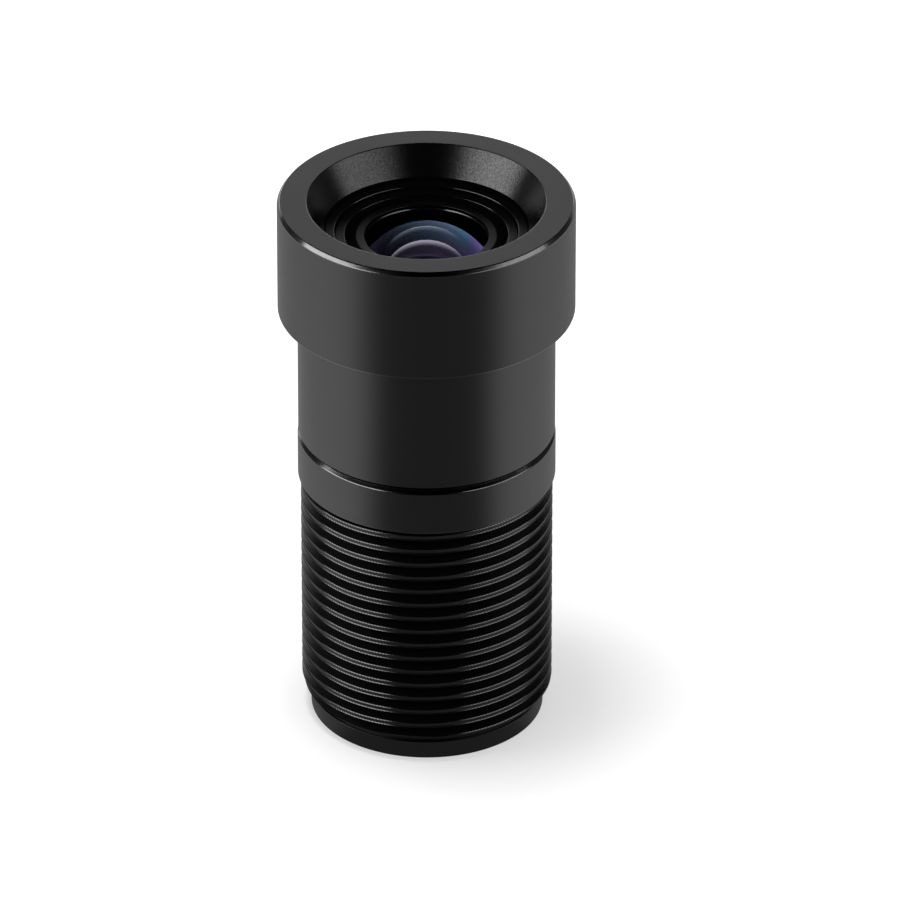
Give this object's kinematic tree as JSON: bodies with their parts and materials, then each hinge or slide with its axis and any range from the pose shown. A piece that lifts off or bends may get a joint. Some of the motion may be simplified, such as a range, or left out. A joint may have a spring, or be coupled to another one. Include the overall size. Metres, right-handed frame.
{
  "type": "m12 board camera lens",
  "caption": "Fixed-focus board camera lens: screwed black barrels with an outside thread, a stepped front mouth and a stack of coated glass elements.",
  "frame": {"origin": "centre of the foot's rear face, on the optical axis", "axes": "+Z along the optical axis from the rear (sensor side) to the front glass; X and Y across it, with nothing to tell them apart but the thread's phase"},
  "size_m": [0.014, 0.014, 0.0273],
  "materials": {
    "anodised_barrel": "fine-turned, satin black anodised",
    "ring_black": "turned, satin black anodised",
    "front_glass": "polished, with a blue-violet anti-reflection coating",
    "inner_glass": "polished and coated",
    "filter_glass": "polished plane glass with a pale cyan infrared-cut coating",
    "spacer_black": "matt black anodised",
    "stop_black": "dead matt black",
    "shim_brass": "blackened"
  },
  "bodies": {
    "root": {"front_barrel": "anodised_barrel", "rear_barrel": "anodised_barrel", "front_retaining_ring": "ring_black", "rear_retaining_ring": "ring_black", "front_lens": "front_glass", "second_lens": "inner_glass", "third_lens": "inner_glass", "doublet_crown": "inner_glass", "doublet_flint": "inner_glass", "sixth_lens": "inner_glass", "rear_lens": "inner_glass", "ir_cut_filter": "filter_glass", "front_spacer": "spacer_black", "second_spacer": "spacer_black", "stop_spacer": "spacer_black", "tube_spacer": "spacer_black", "rear_spacer": "spacer_black", "aperture_stop": "stop_black", "glare_stop": "stop_black", "joint_shim": "shim_brass"}
  },
  "joints": []
}
